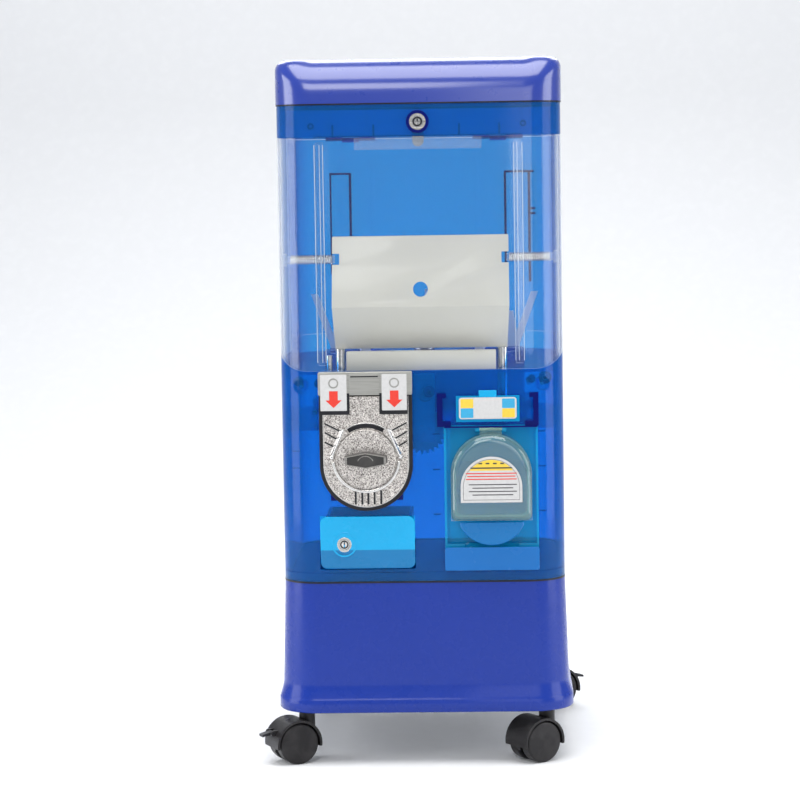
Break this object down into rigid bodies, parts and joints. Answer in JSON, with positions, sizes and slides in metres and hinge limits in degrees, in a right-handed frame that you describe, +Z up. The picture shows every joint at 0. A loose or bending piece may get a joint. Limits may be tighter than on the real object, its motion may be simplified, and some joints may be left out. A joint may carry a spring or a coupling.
{
  "type": "capsule vending machine",
  "caption": "Free-standing capsule-toy vending machine with a clear hopper, a crank coin mechanism, a domed exit flap and a coin drawer, on swivel castors.",
  "frame": {"origin": "on the floor under the middle of the bounding box", "axes": "+Z up, the front towards -Y, +X to the right seen from the front"},
  "size_m": [0.3754, 0.3845, 0.785],
  "materials": {
    "opaque_blue": "moulded, glossy, opaque deep blue",
    "clear_blue": "moulded, glossy, see-through blue",
    "bright_blue": "moulded, glossy, light blue",
    "cyan": "moulded, glossy, opaque sky blue",
    "clear": "clear acrylic",
    "cream": "smooth white plastic",
    "frosted": "frosted white plastic",
    "white_label": "plain printed card",
    "chrome_cast": "cast, chromed, hammered",
    "chrome": "polished chrome",
    "steel": "zinc-plated steel",
    "dark_grey": "dark grey moulded bar",
    "black": "black plastic",
    "dark_blue": "dark blue plastic",
    "gear_white": "acetal",
    "castor_black": "black nylon"
  },
  "bodies": {
    "cabinet": {"base_skirt": "opaque_blue", "base_plate": "steel", "lower_shell": "clear_blue", "front_panel": "clear_blue", "clear_window": "clear", "window_rails": "clear", "window_latch_rail": "clear_blue", "rear_shell": "clear_blue", "hopper_shelf": "clear_blue", "wheel_floor": "clear_blue", "wheel_pivot": "steel", "baffle_panel": "cream", "baffle_posts": "chrome", "guard_trough": "cream", "spring_pins": "clear", "baffle_springs": "steel", "coin_mech_plate": "chrome_cast", "coin_mech_head": "chrome", "coin_mech_housing": "black", "label_frames": "black", "coin_labels": "white_label", "body_screws": "steel", "exit_module": "bright_blue", "exit_chute": "clear_blue", "card_holder": "bright_blue", "instruction_card": "white_label", "window_brackets": "dark_blue", "coin_box_sleeve": "dark_blue", "transfer_bracket": "steel", "hinge_pins": "steel"},
    "lid": {"top_cap": "opaque_blue", "lid_skirt": "clear_blue", "lid_lock_barrel": "chrome"},
    "lid_lock": {"lid_lock_plug": "chrome"},
    "drawer": {"drawer_front": "cyan", "coin_tray": "steel", "drawer_lock_barrel": "chrome"},
    "drawer_lock": {"drawer_lock_plug": "chrome"},
    "knob": {"knob_disc": "chrome_cast", "knob_grip": "dark_grey", "knob_shaft": "steel", "coin_drum": "gear_white", "drive_gear": "gear_white"},
    "transfer": {"pinion_shaft": "steel", "transfer_gear": "gear_white"},
    "wheel": {"capsule_wheel": "clear_blue", "agitator_fins": "frosted"},
    "flap": {"exit_flap": "clear", "flap_sticker": "white_label"},
    "castor_front_left": {"castor_hood_front_left": "castor_black"},
    "wheels_front_left": {"castor_wheels_front_left": "castor_black"},
    "castor_front_right": {"castor_hood_front_right": "castor_black"},
    "wheels_front_right": {"castor_wheels_front_right": "castor_black"},
    "castor_rear_left": {"castor_hood_rear_left": "castor_black"},
    "wheels_rear_left": {"castor_wheels_rear_left": "castor_black"},
    "castor_rear_right": {"castor_hood_rear_right": "castor_black"},
    "wheels_rear_right": {"castor_wheels_rear_right": "castor_black"},
    "brake_front_left": {"brake_lever_front_left": "castor_black"},
    "brake_rear_right": {"brake_lever_rear_right": "castor_black"}
  },
  "joints": [
    {"name": "lid_hinge", "type": "hinge", "parent": "cabinet", "child": "lid", "pos_m": [0, 0.1853, 0.699], "axis": [-1, 0, 0], "range_deg": [0, 75]},
    {"name": "lid_lock_turn", "type": "hinge", "parent": "lid", "child": "lid_lock", "pos_m": [0, -0.159, 0.715], "axis": [0, 1, 0], "range_deg": [0, 90]},
    {"name": "drawer_slide", "type": "slide", "parent": "cabinet", "child": "drawer", "axis": [0, -1, 0], "range_m": [0, 0.115]},
    {"name": "drawer_lock_turn", "type": "hinge", "parent": "drawer", "child": "drawer_lock", "pos_m": [-0.088, -0.159, 0.249], "axis": [0, 1, 0], "range_deg": [0, 90]},
    {"name": "knob_turn", "type": "hinge", "parent": "cabinet", "child": "knob", "pos_m": [-0.062, -0.159, 0.345], "axis": [0, 1, 0], "continuous": true},
    {"name": "transfer_turn", "type": "hinge", "parent": "cabinet", "child": "transfer", "pos_m": [0, -0.111, 0.3704], "axis": [0, 1, 0], "continuous": true},
    {"name": "wheel_turn", "type": "hinge", "parent": "cabinet", "child": "wheel", "pos_m": [0, 0.027, 0.4], "axis": [0, 0, 1], "continuous": true},
    {"name": "flap_lift", "type": "hinge", "parent": "cabinet", "child": "flap", "pos_m": [0.076, -0.162, 0.376], "axis": [-1, 0, 0], "range_deg": [0, 65]},
    {"name": "castor_swivel_front_left", "type": "hinge", "parent": "cabinet", "child": "castor_front_left", "pos_m": [-0.135, -0.132, 0.05], "axis": [0, 0, 1], "continuous": true},
    {"name": "castor_roll_front_left", "type": "hinge", "parent": "castor_front_left", "child": "wheels_front_left", "pos_m": [-0.15017, -0.13967, 0.023], "axis": [0.4509, -0.8926, 0], "continuous": true},
    {"name": "brake_press_front_left", "type": "hinge", "parent": "castor_front_left", "child": "brake_front_left", "pos_m": [-0.17472, -0.15206, 0.036], "axis": [0.4509, -0.8926, 0], "range_deg": [0, 15]},
    {"name": "castor_swivel_front_right", "type": "hinge", "parent": "cabinet", "child": "castor_front_right", "pos_m": [0.135, -0.132, 0.05], "axis": [0, 0, 1], "continuous": true},
    {"name": "castor_roll_front_right", "type": "hinge", "parent": "castor_front_right", "child": "wheels_front_right", "pos_m": [0.12126, -0.14202, 0.023], "axis": [0.5892, -0.808, 0], "continuous": true},
    {"name": "castor_swivel_rear_left", "type": "hinge", "parent": "cabinet", "child": "castor_rear_left", "pos_m": [-0.135, 0.154, 0.05], "axis": [0, 0, 1], "continuous": true},
    {"name": "castor_roll_rear_left", "type": "hinge", "parent": "castor_rear_left", "child": "wheels_rear_left", "pos_m": [-0.12126, 0.16402, 0.023], "axis": [-0.5892, 0.808, 0], "continuous": true},
    {"name": "castor_swivel_rear_right", "type": "hinge", "parent": "cabinet", "child": "castor_rear_right", "pos_m": [0.135, 0.154, 0.05], "axis": [0, 0, 1], "continuous": true},
    {"name": "castor_roll_rear_right", "type": "hinge", "parent": "castor_rear_right", "child": "wheels_rear_right", "pos_m": [0.15017, 0.16167, 0.023], "axis": [-0.4509, 0.8926, 0], "continuous": true},
    {"name": "brake_press_rear_right", "type": "hinge", "parent": "castor_rear_right", "child": "brake_rear_right", "pos_m": [0.17472, 0.17406, 0.036], "axis": [-0.4509, 0.8926, 0], "range_deg": [0, 15]}
  ],
  "couplings": [
    {"joint": "transfer_turn", "follows": "knob_turn", "ratio": -1.68},
    {"joint": "wheel_turn", "follows": "knob_turn", "ratio": -0.2}
  ]
}
